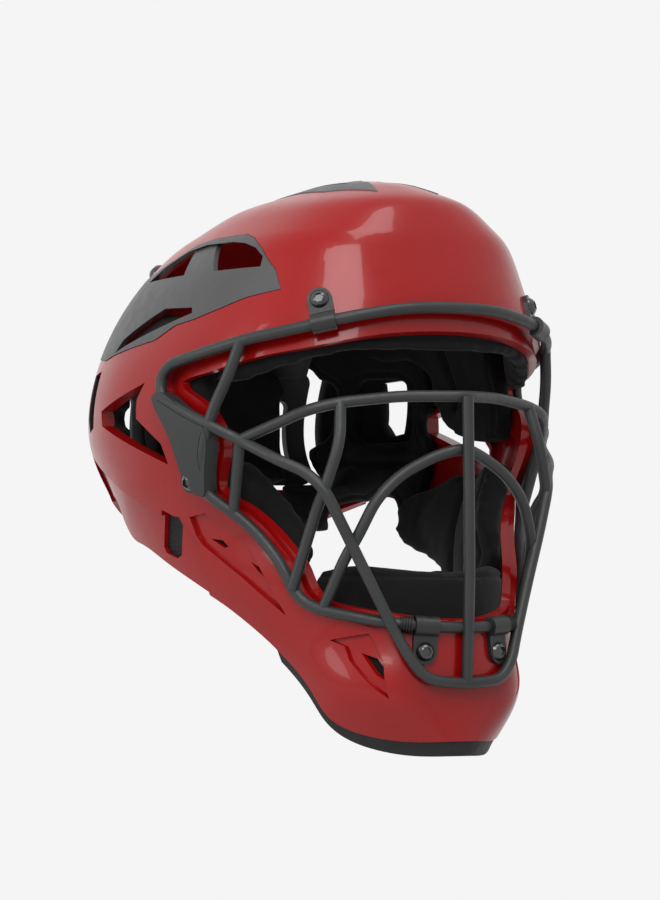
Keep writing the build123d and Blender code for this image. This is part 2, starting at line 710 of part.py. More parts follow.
def side_clip(plane, wires):
    """The moulded plate that holds the cage's side corner, with its screw lug."""
    plate = smooth_prism(outline(side_clip_shares)) & left_layer(-CLIP_PLATE, 0.0)
    lug = plane * rod(SCREW_HEAD + STRAP_THICK, -WALL / 2, STRAP_THICK) - skin(0.0)
    hole = plane * rod(SCREW_SHANK + 2 * STRAP_GAP, -2 * WALL, 2 * WALL)
    room = plane * rod(SCREW_HEAD + 2 * STRAP_GAP, STRAP_THICK, 4 * WALL)
    return cut_by((plate - room) + lug, [hole, *wires])


def make_clips():
    """The strap clips above and below the face, and the side clip that closes over the cage's corner."""
    corner_wires = [*seat_clearance(), tube(side_bars(1)[0], WIRE + 2 * STRAP_GAP)]
    clips = pair("top_clip", strap_clip(screw_seats["top"]["left"], rim_path))
    clips |= pair("chin_clip", strap_clip(screw_seats["chin"]["left"], rim_path))
    return clips | pair("side_clip", side_clip(screw_seats["side"]["left"], corner_wires))


def screw(head, dome_height, seat_height, length):
    """A domed screw that points down into the shell, its head on the seat height."""
    body = Pos(0, 0, seat_height) * dome(head, dome_height) + rod(SCREW_SHANK, seat_height - length, seat_height)
    socket = extrude(RegularPolygon(head * SOCKET_SHARE, 6), dome_height)
    return body - Pos(0, 0, seat_height + dome_height * SOCKET_FLOOR_SHARE) * socket


def nut(plane):
    """A flanged barrel nut inside the shell, its flange cut away where it would reach the lip."""
    flange = plane * rod(NUT_FLANGE, -WALL - NUT_PLATE - RECESS, WALL) & skin(WALL + NUT_SEAT)
    flange -= face_prism(-WALL - BORE_GAP)
    barrel = plane * rod(NUT_BARREL, -WALL - NUT_PLATE, -2 * BORE_GAP)
    return flange + barrel - plane * rod(SCREW_SHANK + STRAP_GAP, -4 * WALL, WALL)


def make_screws():
    """Each cage screw with its nut, and the two dome bolts at the rear."""
    parts = {}
    for group, planes in screw_seats.items():
        head = screw(SCREW_HEAD, SCREW_DOME, STRAP_THICK, STRAP_THICK + WALL)
        parts |= pair(f"{group}_screw", planes["left"] * head)
        parts |= pair(f"{group}_nut", nut(planes["left"]))
    parts |= pair("rear_bolt", bolt_seats["left"] * screw(BOLT_HEAD, BOLT_DOME, INSERT_GAP, WALL))
    return parts | pair("rear_nut", nut(bolt_seats["left"]))


def make_sleeves():
    """A ribbed rubber sleeve on the rim wire, outboard of each chin clip."""
    clip_at, along = nearest_on(rim_path, screw_seats["chin"]["left"].origin)
    out = along if along.X > 0 else -along
    at, direction = nearest_on(rim_path, clip_at + out * ((STRAP_WIDTH + SLEEVE_LENGTH) / 2 + SLEEVE_GAP))
    plane = Plane(origin=at, z_dir=direction)
    sleeve = plane * Cylinder(WIRE / 2 + SLEEVE_WALL, SLEEVE_LENGTH) - skin(0.0)
    sleeve = cut_by(sleeve, seat_clearance())
    pitch = SLEEVE_LENGTH / (SLEEVE_RIBS + 0.5)
    for k in range(SLEEVE_RIBS):
        groove = Cylinder(WIRE + SLEEVE_WALL, pitch / 2) - Cylinder(WIRE / 2 + SLEEVE_WALL / 2, pitch)
        sleeve -= plane * Pos(0, 0, (k + 0.75) * pitch - SLEEVE_LENGTH / 2) * groove
    return pair("rim_sleeve", sleeve)


def cushion(points, thickness):
    """A soft pad against the shell's left side: drawn in toward the head, with a rounded outline."""
    reach = SHELL_WIDTH / 2
    shallow = Edge.make_spline([Vector(reach, y, z) for y, z in points], periodic=True)
    drawn_in = [Vector(reach / 2, y, z) for y, z in ring_outline(points, PAD_TAPER)]
    deep = Edge.make_spline(drawn_in, periodic=True)
    block = Solid.make_loft([Wire([shallow]), Wire([deep])], ruled=True)
    return between(block, WALL + PAD_GAP, WALL + PAD_GAP + thickness)


def channel(start, stop, thickness):
    """A sewn channel across a side pad's inner face, between two places in side view."""
    (y1, z1), (y2, z2) = side_point(start), side_point(stop)
    size = hypot(y2 - y1, z2 - z1)
    dy, dz = (z2 - z1) / size * PAD_CHANNEL_WIDTH / 2, (y1 - y2) / size * PAD_CHANNEL_WIDTH / 2
    corners = [(y1 - dy, z1 - dz), (y2 - dy, z2 - dz), (y2 + dy, z2 + dz), (y1 + dy, z1 + dz)]
    return side_prism(corners) & skin(WALL + PAD_GAP + thickness - PAD_CHANNEL)


def nut_room(planes, gap=PAD_GAP):
    """Space that the pads leave round the nuts."""
    depth = WALL + NUT_PLATE + RECESS + gap
    return [plane * rod(NUT_FLANGE + 2 * gap, -depth, WALL) for plane in planes]


def lip_room(gap=PAD_GAP):
    """Space that the pads leave at the inturned lip and in the face opening."""
    return face_prism(-WALL - gap) - skin(LIP_DEPTH + WALL + gap)


def panel_room(gap=PAD_GAP):
    """Space that the side pads leave for the rear panel and its tabs."""
    return rear_prism(2 * (window_half + gap), 2 * PANEL_BOTTOM, PANEL_TOP + TAB_RISE + gap, CORNER)


def web_block(gap=0.0):
    """The strap behind each wing slot, or the space that the jaw pad leaves for it."""
    prism = side_prism(ring_outline(outline(wing_slot_shares), -WEB_OVERLAP - gap))
    return prism & left_layer(WALL + PAD_GAP - gap, WALL + PAD_GAP + WEB_THICK + gap)


def make_side_pads():
    """Temple, jaw and rear cushions on each side, with their sewn channels."""
    left_seats = [group["left"] for group in (*screw_seats.values(), bolt_seats)]
    ear_wall = side_prism(ring_outline(outline(ear_vent_shares), EAR_WALL + PAD_GAP))
    tools = [*nut_room(left_seats), left_half(lip_room()), panel_room(), web_block(PAD_GAP)]
    tools.append(ear_wall - skin(EAR_WALL_DEPTH + PAD_GAP))
    parts = {}
    for name, (shares, thickness, channels) in side_pads.items():
        cuts = [channel(start, stop, thickness) for start, stop in channels]
        parts |= pair(name, cut_by(cushion(outline(shares), thickness), [*cuts, *tools]))
    return parts


def make_front_pads():
    """The brow band and the chin cup, which hang past the lip into the face opening."""
    parts = {}
    for name, (shares, thickness) in front_pads.items():
        band = between(smooth_prism(outline(shares)), WALL + PAD_GAP, WALL + PAD_GAP + thickness)
        seats = [plane for group in ("top", "chin") for plane in screw_seats[group].values()]
        parts[name] = cut_by(band, [lip_room(), *nut_room(seats)])
    return parts


def make_crown_pad():
    """The round pad under the crown, open under the crown slits."""
    middle = crown_slit_shares[1] * BROW_REACH
    block = Pos(0, middle, CROWN_HEIGHT) * extrude(Ellipse(CROWN_PAD_WIDTH / 2, CROWN_PAD_LENGTH / 2), -CROWN_HEIGHT)
    return {"crown_pad": between(block, WALL + PAD_GAP, WALL + PAD_GAP + PAD_THICK)}


def make_chin_trim():
    """The rubber bead under the chin's edge."""
    bead = under_edge() - under_edge(TRIM_DROP)
    rear = side_point(trim_end_shares)[0]
    bead &= Pos(0, rear - 2 * BROW_REACH, -CHIN_DROP) * Box(SHELL_WIDTH, 4 * BROW_REACH, 2 * CHIN_DROP)
    return {"chin_trim": bead & layer(TRIM_INSET, TRIM_INSET + TRIM_THICK)}


def panel_windows():
    """The two openings of the rear panel's frame, beside its broad spine."""
    width = PANEL_WIDTH / 2 - PANEL_POST - PANEL_SPINE / 2
    middle = (PANEL_WIDTH / 2 - PANEL_POST + PANEL_SPINE / 2) / 2
    low, high = PANEL_BOTTOM + PANEL_LOW_RAIL, PANEL_TOP - PANEL_TOP_RAIL
    hole = rear_prism(width, low, high, CORNER / 2)
    return [Pos(side * middle, 0, 0) * hole for side in SIDES.values()]


def make_rear_panel():
    """The floating frame in the rear window, with its two tabs."""
    frame = rear_prism(PANEL_WIDTH, PANEL_BOTTOM, PANEL_TOP, CORNER) - panel_windows()
    panel = between(frame, PANEL_SET_BACK, PANEL_SET_BACK + PANEL_THICK)
    web_depth = tab_depth + PANEL_THICK
    for x, z in stud_places.values():
        foot = rear_prism(TAB_WIDTH, PANEL_TOP - TAB_WEB, PANEL_TOP, TAB_WEB / 4)
        tab = rear_prism(TAB_WIDTH, PANEL_TOP - TAB_WEB, PANEL_TOP + TAB_RISE, TAB_WEB / 4)
        panel += between(Pos(x, 0, 0) * foot, PANEL_SET_BACK, web_depth)
        panel += between(Pos(x, 0, 0) * tab, tab_depth, web_depth)
        panel -= behind(x, z, 0, stud_face, STUD + STRAP_GAP)
    return {"rear_panel": panel}


def make_studs():
    """The two headed studs that the panel slides on."""
    (x, z) = stud_places["left"]
    root = rear_y(x, z, tab_depth + PANEL_THICK)
    head = stud_face + BORE_GAP
    stud = behind(x, z, root, head, STUD) + behind(x, z, head, head + STUD_HEAD_THICK, STUD_HEAD)
    return pair("panel_stud", stud)


def make_panel_pad():
    """The cushion on the inner face of the panel's broad spine."""
    top, bottom = PANEL_TOP - TAB_WEB - PAD_GAP, PANEL_BOTTOM + PAD_TAPER
    pad = rear_prism(PANEL_SPINE, bottom, top, CORNER)
    start = PANEL_SET_BACK + PANEL_THICK + PAD_GAP
    return {"rear_panel_pad": between(pad, start, start + PANEL_PAD_THICK)}


def make_parts():
    parts = {"outer_shell": make_shell(), "face_cage": make_cage()}
    groups = [make_side_inserts, make_crown_insert, make_clips, make_screws, make_sleeves, make_side_pads]
    groups += [make_front_pads, make_crown_pad, make_chin_trim, make_rear_panel, make_studs, make_panel_pad]
    for group in groups:
        parts |= group()
    return parts | pair("wing_strap", web_block())


os.makedirs("parts", exist_ok=True)
for node, solid in make_parts().items():
    biggest = max(solid.solids(), key=lambda piece: piece.volume)
    export_step(biggest, f"parts/{node}.step")
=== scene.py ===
import math

import bmesh
import bpy
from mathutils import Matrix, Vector
from mathutils.bvhtree import BVHTree


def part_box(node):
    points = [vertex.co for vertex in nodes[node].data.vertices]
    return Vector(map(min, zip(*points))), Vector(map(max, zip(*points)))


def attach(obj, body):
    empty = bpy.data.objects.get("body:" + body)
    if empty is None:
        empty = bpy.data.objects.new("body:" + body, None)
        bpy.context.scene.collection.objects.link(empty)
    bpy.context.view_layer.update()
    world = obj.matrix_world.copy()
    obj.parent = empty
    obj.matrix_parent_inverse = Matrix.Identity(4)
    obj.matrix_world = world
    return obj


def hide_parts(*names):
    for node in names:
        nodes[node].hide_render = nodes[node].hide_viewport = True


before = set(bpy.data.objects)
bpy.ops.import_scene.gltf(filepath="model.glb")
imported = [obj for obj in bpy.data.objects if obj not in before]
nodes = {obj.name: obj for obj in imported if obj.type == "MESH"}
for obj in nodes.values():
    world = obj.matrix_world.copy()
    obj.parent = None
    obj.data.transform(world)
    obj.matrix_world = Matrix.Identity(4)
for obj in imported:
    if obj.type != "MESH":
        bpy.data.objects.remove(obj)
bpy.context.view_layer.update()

scene = bpy.context.scene


# Camera: it stands 2.8 m away on a long lens, on the wearer's right of the face and a little below
# its middle, and looks slightly up at it.
AIM = Vector((0.0113, -0.0074, -0.0139))
DISTANCE, LENS, SENSOR = 2.8, 207.2, 36.0
AZIMUTH, ELEVATION = math.radians(-33.0), math.radians(-1.5)
back = Vector((math.sin(AZIMUTH) * math.cos(ELEVATION), -math.cos(AZIMUTH) * math.cos(ELEVATION),
               math.sin(ELEVATION)))
camera = bpy.data.objects.new("camera", bpy.data.cameras.new("camera"))
scene.collection.objects.link(camera)
camera.data.sensor_width = SENSOR
camera.data.lens = LENS
camera.location = AIM + back * DISTANCE
camera.rotation_euler = (-back).to_track_quat("-Z", "Y").to_euler()
scene.camera = camera


# Backdrop: one pale tone all round, seen by the camera and in reflections, while a weaker and even
# room light falls on the helmet.
BACKDROP = (0.913, 0.913, 0.913, 1.0)
ROOM_WHITE, ROOM_LIGHT = (1.0, 1.0, 1.0, 1.0), 0.30


def shader_nodes(owner):
    """An empty node tree on a material or world, with its output node."""
    owner.use_nodes = True
    tree = owner.node_tree
    tree.nodes.clear()
    kind = "ShaderNodeOutputWorld" if isinstance(owner, bpy.types.World) else "ShaderNodeOutputMaterial"
    return tree, tree.nodes.new(kind)


def plain_light(tree, kind, color, strength):
    """A background or emission node of one colour."""
    light = tree.nodes.new(kind)
    light.inputs["Color"].default_value = color
    light.inputs["Strength"].default_value = strength
    return light


def show_in_view(tree, out, lit, shown):
    """Show one shader where the camera, a reflection or a clear body looks, and another elsewhere."""
    path = tree.nodes.new("ShaderNodeLightPath")
    seen = path.outputs["Is Camera Ray"]
    for kind in ("Is Glossy Ray", "Is Transmission Ray"):
        either = tree.nodes.new("ShaderNodeMath")
        either.operation = "MAXIMUM"
        tree.links.new(seen, either.inputs[0])
        tree.links.new(path.outputs[kind], either.inputs[1])
        seen = either.outputs[0]
    mix = tree.nodes.new("ShaderNodeMixShader")
    tree.links.new(seen, mix.inputs["Fac"])
    tree.links.new(lit.outputs[0], mix.inputs[1])
    tree.links.new(shown.outputs[0], mix.inputs[2])
    tree.links.new(mix.outputs[0], out.inputs["Surface"])


world = bpy.data.worlds.new("studio_air")
scene.world = world
tree, out = shader_nodes(world)
show_in_view(tree, out, plain_light(tree, "ShaderNodeBackground", ROOM_WHITE, ROOM_LIGHT),
             plain_light(tree, "ShaderNodeBackground", BACKDROP, 1.0))


# Floor: pale paper half a metre below the helmet, which hangs in the air. It keeps the helmet's shadow,
# and a glow that only the view shows brings it near the backdrop's tone.
FLOOR_RADIUS, FLOOR_HEIGHT, FLOOR_SIDES = 3.0, -0.5, 96
PAPER, PAPER_ROUGHNESS, PAPER_SPECULAR, PAPER_GLOW = (0.6, 0.6, 0.6, 1.0), 0.9, 0.1, 0.5
bm = bmesh.new()
bmesh.ops.create_circle(bm, cap_ends=True, segments=FLOOR_SIDES, radius=FLOOR_RADIUS)
bmesh.ops.translate(bm, vec=(0.0, 0.0, FLOOR_HEIGHT), verts=bm.verts)
floor_mesh = bpy.data.meshes.new("studio_floor")
bm.to_mesh(floor_mesh)
bm.free()
floor = bpy.data.objects.new("studio_floor", floor_mesh)
scene.collection.objects.link(floor)
paper = bpy.data.materials.new("backdrop_paper")
tree, out = shader_nodes(paper)
surface = tree.nodes.new("ShaderNodeBsdfPrincipled")
surface.inputs["Base Color"].default_value = PAPER
surface.inputs["Roughness"].default_value = PAPER_ROUGHNESS
surface.inputs["Specular IOR Level"].default_value = PAPER_SPECULAR
lifted = tree.nodes.new("ShaderNodeAddShader")
tree.links.new(surface.outputs[0], lifted.inputs[0])
glow = plain_light(tree, "ShaderNodeEmission", BACKDROP, PAPER_GLOW)
tree.links.new(glow.outputs[0], lifted.inputs[1])
show_in_view(tree, out, surface, lifted)
floor_mesh.materials.append(paper)


# Softboxes: a large one above the camera lights the face, one hangs over the brow, and one stands at the
# wearer's right. Each row is a name, a place, the size across and up, and watts.
softboxes = [
    ("key_softbox", (-1.2, -1.5, 1.3), (1.2, 1.0), 24.0),
    ("crown_softbox", (0.0, -0.9, 1.9), (1.2, 0.8), 14.0),
    ("side_softbox", (-2.0, 0.3, 0.5), (0.9, 1.3), 12.0),
]
for name, place, (width, height), watts in softboxes:
    lamp = bpy.data.lights.new(name, "AREA")
    lamp.shape = "RECTANGLE"
    lamp.size, lamp.size_y = width, height
    lamp.energy = watts
    holder = bpy.data.objects.new(name, lamp)
    holder.location = place
    holder.rotation_euler = (-Vector(place)).to_track_quat("-Z", "Y").to_euler()
    scene.collection.objects.link(holder)


# Outer shell: one red moulding from the crown down to the chin, under a clear coat. Its own colour is
# deep, and it has the faint orange peel of a coated plastic.
RED, RED_DARK, RED_LIGHT = (0.33, 0.003, 0.003), (0.32, 0.0025, 0.0025), (0.34, 0.0035, 0.0035)
COAT_WEIGHT, COAT_ROUGHNESS = 0.35, 0.06
CREASE = 24.0
WELD = 1e-5
PATTERN_LOW, PATTERN_HIGH = 0.3, 0.7


def principled(name, color, roughness, specular=0.5):
    """A material with one Principled shader, and its node tree."""
    material = bpy.data.materials.new(name)
    tree, out = shader_nodes(material)
    shader = tree.nodes.new("ShaderNodeBsdfPrincipled")
    shader.inputs["Base Color"].default_value = (*color, 1.0)
    shader.inputs["Roughness"].default_value = roughness
    shader.inputs["Specular IOR Level"].default_value = specular
    tree.links.new(shader.outputs[0], out.inputs["Surface"])
    return material, tree, shader


def noise(tree, cells, detail=3.0):
    """A noise pattern in object space, of so many cells per metre."""
    place = tree.nodes.new("ShaderNodeTexCoord")
    pattern = tree.nodes.new("ShaderNodeTexNoise")
    pattern.inputs["Scale"].default_value = cells
    pattern.inputs["Detail"].default_value = detail
    tree.links.new(place.outputs["Object"], pattern.inputs["Vector"])
    return pattern.outputs["Fac"]


def vary_roughness(tree, source, shader, low, high):
    """Move the shader's roughness between two values by a pattern."""
    scale = tree.nodes.new("ShaderNodeMapRange")
    scale.inputs["From Min"].default_value = PATTERN_LOW
    scale.inputs["From Max"].default_value = PATTERN_HIGH
    scale.inputs["To Min"].default_value = low
    scale.inputs["To Max"].default_value = high
    tree.links.new(source, scale.inputs["Value"])
    tree.links.new(scale.outputs["Result"], shader.inputs["Roughness"])


def tint(tree, source, shader, dark, light):
    """Colour the shader between two shades by a pattern."""
    ramp = tree.nodes.new("ShaderNodeValToRGB")
    low, high = ramp.color_ramp.elements
    low.position, low.color = PATTERN_LOW, (*dark, 1.0)
    high.position, high.color = PATTERN_HIGH, (*light, 1.0)
    tree.links.new(source, ramp.inputs["Fac"])
    tree.links.new(ramp.outputs["Color"], shader.inputs["Base Color"])


def bump(tree, source, shader, depth, strength):
    """Raise the surface by a pattern, up to a depth in metres."""
    relief = tree.nodes.new("ShaderNodeBump")
    relief.inputs["Strength"].default_value = strength
    relief.inputs["Distance"].default_value = depth
    tree.links.new(source, relief.inputs["Height"])
    tree.links.new(relief.outputs["Normal"], shader.inputs["Normal"])


def soft_shading():
    """A node group that shades smoothly, except over edges sharper than the crease."""
    group = bpy.data.node_groups.new("soft_shading", "GeometryNodeTree")
    for way in ("INPUT", "OUTPUT"):
        group.interface.new_socket("Geometry", in_out=way, socket_type="NodeSocketGeometry")
    start, end = group.nodes.new("NodeGroupInput"), group.nodes.new("NodeGroupOutput")
    faces = group.nodes.new("GeometryNodeSetShadeSmooth")
    edges = group.nodes.new("GeometryNodeSetShadeSmooth")
    edges.domain = "EDGE"
    edges.inputs["Shade Smooth"].default_value = False
    angle = group.nodes.new("GeometryNodeInputMeshEdgeAngle")
    sharp = group.nodes.new("FunctionNodeCompare")
    sharp.operation = "GREATER_THAN"
    sharp.inputs["B"].default_value = math.radians(CREASE)
    group.links.new(angle.outputs["Unsigned Angle"], sharp.inputs["A"])
    group.links.new(sharp.outputs["Result"], edges.inputs["Selection"])
    group.links.new(start.outputs["Geometry"], faces.inputs["Geometry"])
    group.links.new(faces.outputs["Geometry"], edges.inputs["Geometry"])
    group.links.new(edges.outputs["Geometry"], end.inputs["Geometry"])
    return group


shading = soft_shading()


def dress(material, *names):
    """Give carried-over CAD nodes a material, and smooth shading between their welded facets."""
    for name in names:
        part = nodes[name]
        part.material_slots[0].material = material
        part.modifiers.new("weld", "WELD").merge_threshold = WELD
        part.modifiers.new("shading", "NODES").node_group = shading


def both_sides(*kinds):
    """The node names of like pieces on the wearer's left and right."""
    return [f"{kind}_{side}" for kind in kinds for side in ("left", "right")]


red, tree, shader = principled("coated_red_plastic", RED, roughness=0.32, specular=0.2)
shader.inputs["Coat Weight"].default_value = COAT_WEIGHT
shader.inputs["Coat Roughness"].default_value = COAT_ROUGHNESS
tint(tree, noise(tree, cells=9.0), shader, RED_DARK, RED_LIGHT)
vary_roughness(tree, noise(tree, cells=60.0), shader, low=0.27, high=0.34)
bump(tree, noise(tree, cells=900.0), shader, depth=0.00002, strength=0.25)
dress(red, "outer_shell")


# Vent inserts: grey plastic mouldings with slanted struts, set flush into the shell's side and crown
# recesses. Their fine moulded grain makes them duller than the shell.
GREY, GREY_DARK, GREY_LIGHT = (0.060, 0.060, 0.062), (0.054, 0.054, 0.056), (0.066, 0.066, 0.068)
grey, tree, shader = principled("moulded_grey_plastic", GREY, roughness=0.42)
tint(tree, noise(tree, cells=14.0), shader, GREY_DARK, GREY_LIGHT)
vary_roughness(tree, noise(tree, cells=160.0), shader, low=0.38, high=0.48)
bump(tree, noise(tree, cells=2600.0, detail=4.0), shader, depth=0.00003, strength=0.4)
dress(grey, "crown_vent_insert", *both_sides("side_vent_insert"))


# Face cage: steel wire, bent and welded, then dipped in a satin charcoal coat. It sits against the lip
# of the face opening, where the clips hold it.
CHARCOAL = (0.024, 0.025, 0.026)
CHARCOAL_DARK, CHARCOAL_LIGHT = (0.020, 0.021, 0.022), (0.028, 0.029, 0.030)
charcoal, tree, shader = principled("dipped_charcoal_coat", CHARCOAL, roughness=0.45, specular=0.4)
tint(tree, noise(tree, cells=40.0), shader, CHARCOAL_DARK, CHARCOAL_LIGHT)
vary_roughness(tree, noise(tree, cells=300.0), shader, low=0.38, high=0.52)
bump(tree, noise(tree, cells=1800.0), shader, depth=0.00005, strength=0.5)
dress(charcoal, "face_cage")


# Top and chin clips: black steel straps bent round the rim wire, each pulled against the shell by one
# screw.
STRAP_BLACK = (0.016, 0.016, 0.017)
strap_steel, tree, shader = principled("black_strap_steel", STRAP_BLACK, roughness=0.4, specular=0.4)
vary_roughness(tree, noise(tree, cells=400.0), shader, low=0.34, high=0.5)
bump(tree, noise(tree, cells=2400.0), shader, depth=0.00003, strength=0.4)
dress(strap_steel, *both_sides("top_clip", "chin_clip"))


# Side clips: dark moulded plates that hook over the rim wire beside the temples, each held by one screw
# at its foot.
CLIP_GREY = (0.024, 0.025, 0.026)
clip_plastic, tree, shader = principled("moulded_dark_clip", CLIP_GREY, roughness=0.46, specular=0.4)
vary_roughness(tree, noise(tree, cells=200.0), shader, low=0.4, high=0.55)
bump(tree, noise(tree, cells=2200.0), shader, depth=0.00004, strength=0.5)
dress(clip_plastic, *both_sides("side_clip"))


# Screws and bolts: domed heads in a glossy black finish, through the clips and through the rear of each
# side insert.
SCREW_BLACK = (0.012, 0.012, 0.013)
screw_finish, tree, shader = principled("black_screw_finish", SCREW_BLACK, roughness=0.2)
shader.inputs["Coat Weight"].default_value = 0.6
shader.inputs["Coat Roughness"].default_value = 0.1
vary_roughness(tree, noise(tree, cells=500.0), shader, low=0.15, high=0.3)
dress(screw_finish, *both_sides("top_screw", "side_screw", "chin_screw", "rear_bolt"))


# Nuts: plated steel barrels on the inside of the shell, one for each screw and bolt, drawn up against
# the wall.
PLATED_GREY = (0.35, 0.35, 0.36)
plated, tree, shader = principled("plated_nut", PLATED_GREY, roughness=0.32)
shader.inputs["Metallic"].default_value = 1.0
vary_roughness(tree, noise(tree, cells=700.0), shader, low=0.25, high=0.42)
dress(plated, *both_sides("top_nut", "side_nut", "chin_nut", "rear_nut"))


# Rubber pieces: a ribbed sleeve pushed over the rim wire beside each chin clip, and a soft strip that
# grips the shell's edge under the chin.
RUBBER_BLACK = (0.009, 0.009, 0.009)
rubber, tree, shader = principled("black_rubber", RUBBER_BLACK, roughness=0.55, specular=0.3)
vary_roughness(tree, noise(tree, cells=250.0), shader, low=0.48, high=0.65)
bump(tree, noise(tree, cells=1600.0), shader, depth=0.00004, strength=0.4)
dress(rubber, "chin_trim", *both_sides("rim_sleeve"))


# Rear panel: a black moulded frame that floats in the rear window, on two headed studs of the same
# plastic that let it slide.
PANEL_BLACK = (0.012, 0.012, 0.013)
panel_plastic, tree, shader = principled("moulded_black_plastic", PANEL_BLACK, roughness=0.5, specular=0.3)
vary_roughness(tree, noise(tree, cells=180.0), shader, low=0.42, high=0.56)
bump(tree, noise(tree, cells=2400.0), shader, depth=0.00004, strength=0.5)
dress(panel_plastic, "rear_panel", *both_sides("panel_stud"))


# Side pads: temple, jaw and rear foam cushions in a black knitted cover, sewn round the edge and along one
# channel. Each lies against the inside of the shell, where it is held. The rear ones go on as a thinner
# lining round the port.
KNIT, KNIT_DARK, KNIT_LIGHT = (0.0075, 0.0075, 0.008), (0.006, 0.006, 0.0065), (0.009, 0.009, 0.0095)
VOXEL, SNAP = 0.004, 1e-6
PRESSURE, SWELL_FRAMES = 4.0, 20
SMOOTHING_ROUNDS = 2
SEAM_HALF, SEAM_SINK = 0.0012, 0.0010
CHANNEL_HALF, CHANNEL_SINK = 0.0024, 0.0028
# How squarely a face looks out at the shell, from 1 for outwards to -1 for at the head.
HELD, BACKING, OUTSIDE, HEAD_SIDE, INNER_WALL = 0.35, 0.6, 0.5, -0.3, -0.4
LINING_LIFT, FOAM_LINING = 0.0006, 0.0085
REAR_LINING = [
    ((0.045, 0.024, -0.052), (0.115, 0.122, -0.008)),
    ((0.045, 0.024, 0.029), (0.115, 0.122, 0.064)),
    ((0.045, 0.024, -0.010), (0.115, 0.040, 0.031)),
]
TEMPLE_CHANNEL = ((-0.0102, 0.0104), (-0.0102, 0.0624))
JAW_CHANNEL = ((-0.0334, -0.0202), (-0.0479, -0.1042))
REAR_CHANNEL = ((0.0262, -0.0185), (0.1179, -0.0185))
# Each row is a pad, the depth of its edge seam, the most that it swells, its channel in side view and
# its lining boxes.
side_cushions = [
    ("temple", 0.0075, 0.0025, TEMPLE_CHANNEL, ()),
    ("jaw", 0.0095, 0.0035, JAW_CHANNEL, ()),
    ("rear", 0.0075, 0.0025, REAR_CHANNEL, REAR_LINING),
]


def new_piece(name, bm, material):
    """An object at the origin from a bmesh, in one material, shaded smooth."""
    mesh = bpy.data.meshes.new(name)
    bm.to_mesh(mesh)
    bm.free()
    mesh.materials.append(material)
    mesh.shade_smooth()
    piece = bpy.data.objects.new(name, mesh)
    scene.collection.objects.link(piece)
    return piece


def welded_copy(node):
    """A bmesh of a CAD node's faces, joined into one closed skin."""
    bm = bmesh.new()
    bm.from_mesh(nodes[node].data)
    bmesh.ops.remove_doubles(bm, verts=bm.verts, dist=WELD)
    return bm


def away(place, upward=False):
    """The way from the head out to the shell: upward under the crown, level elsewhere."""
    return Vector((0.0, 0.0, 1.0)) if upward else Vector((place.x, place.y, 0.0)).normalized()


def add_lining(bm, low, high, thick):
    """Add a block to a bmesh: the shell's inner wall inside a box, thickened towards the head."""
    wall = welded_copy("outer_shell")
    outer = [f for f in wall.faces if f.normal.dot(away(f.calc_center_median())) > INNER_WALL]
    bmesh.ops.delete(wall, geom=outer, context="FACES")
    for axis in range(3):
        for corner, sign in ((low, -1.0), (high, 1.0)):
            normal = Vector((0.0, 0.0, 0.0))
            normal[axis] = sign
            bmesh.ops.bisect_plane(wall, geom=[*wall.verts, *wall.edges, *wall.faces], dist=SNAP,
                                   plane_co=corner, plane_no=normal, clear_outer=True)
    wall.normal_update()
    for vertex in wall.verts:
        vertex.co += vertex.normal * LINING_LIFT
    raised = bmesh.ops.extrude_face_region(wall, geom=wall.faces[:], use_keep_orig=True)["geom"]
    for vertex in raised:
        if isinstance(vertex, bmesh.types.BMVert):
            vertex.co += vertex.normal * thick
    bmesh.ops.recalc_face_normals(wall, faces=wall.faces)
    block = bpy.data.meshes.new("lining_block")
    wall.to_mesh(block)
    wall.free()
    bm.from_mesh(block)
    bpy.data.meshes.remove(block)


def take_result(piece):
    """Keep a piece's modified mesh as its own, and drop the modifiers."""
    shown = piece.evaluated_get(bpy.context.evaluated_depsgraph_get())
    mesh = bpy.data.meshes.new_from_object(shown)
    piece.modifiers.clear()
    piece.data = mesh


def swell(piece, cap, upward):
    """Blow the cover out by a cloth simulation, held at its outer side, and no point moved past a cap."""
    mesh = piece.data
    rest = [vertex.co.copy() for vertex in mesh.vertices]
    held = piece.vertex_groups.new(name="held")
    held.add([v.index for v in mesh.vertices if v.normal.dot(away(v.co, upward)) > HELD], 1.0, "REPLACE")
    cloth = piece.modifiers.new("cloth", "CLOTH")
    cloth.settings.use_pressure = True
    cloth.settings.uniform_pressure_force = PRESSURE
    cloth.settings.effector_weights.gravity = 0.0
    cloth.settings.vertex_group_mass = "held"
    cloth.point_cache.frame_end = SWELL_FRAMES
    for frame_number in range(1, SWELL_FRAMES + 1):
        scene.frame_set(frame_number)
    take_result(piece)
    for vertex, start in zip(piece.data.vertices, rest):
        move = vertex.co - start
        if move.length > cap:
            vertex.co = start + move * (cap / move.length)
    scene.frame_set(1)


def line_distance(place, start, stop):
    """How far a place lies from a line in side view."""
    run = Vector((stop[0] - start[0], stop[1] - start[1]))
    gap = Vector((place.y - start[0], place.z - start[1]))
    along = min(max(gap.dot(run) / run.length_squared, 0.0), 1.0)
    return (gap - run * along).length


def dip(gap, half, depth):
    """How deep a sewn line draws the cover in, at a gap from the line."""
    return depth * math.exp(-(gap / half) ** 2)


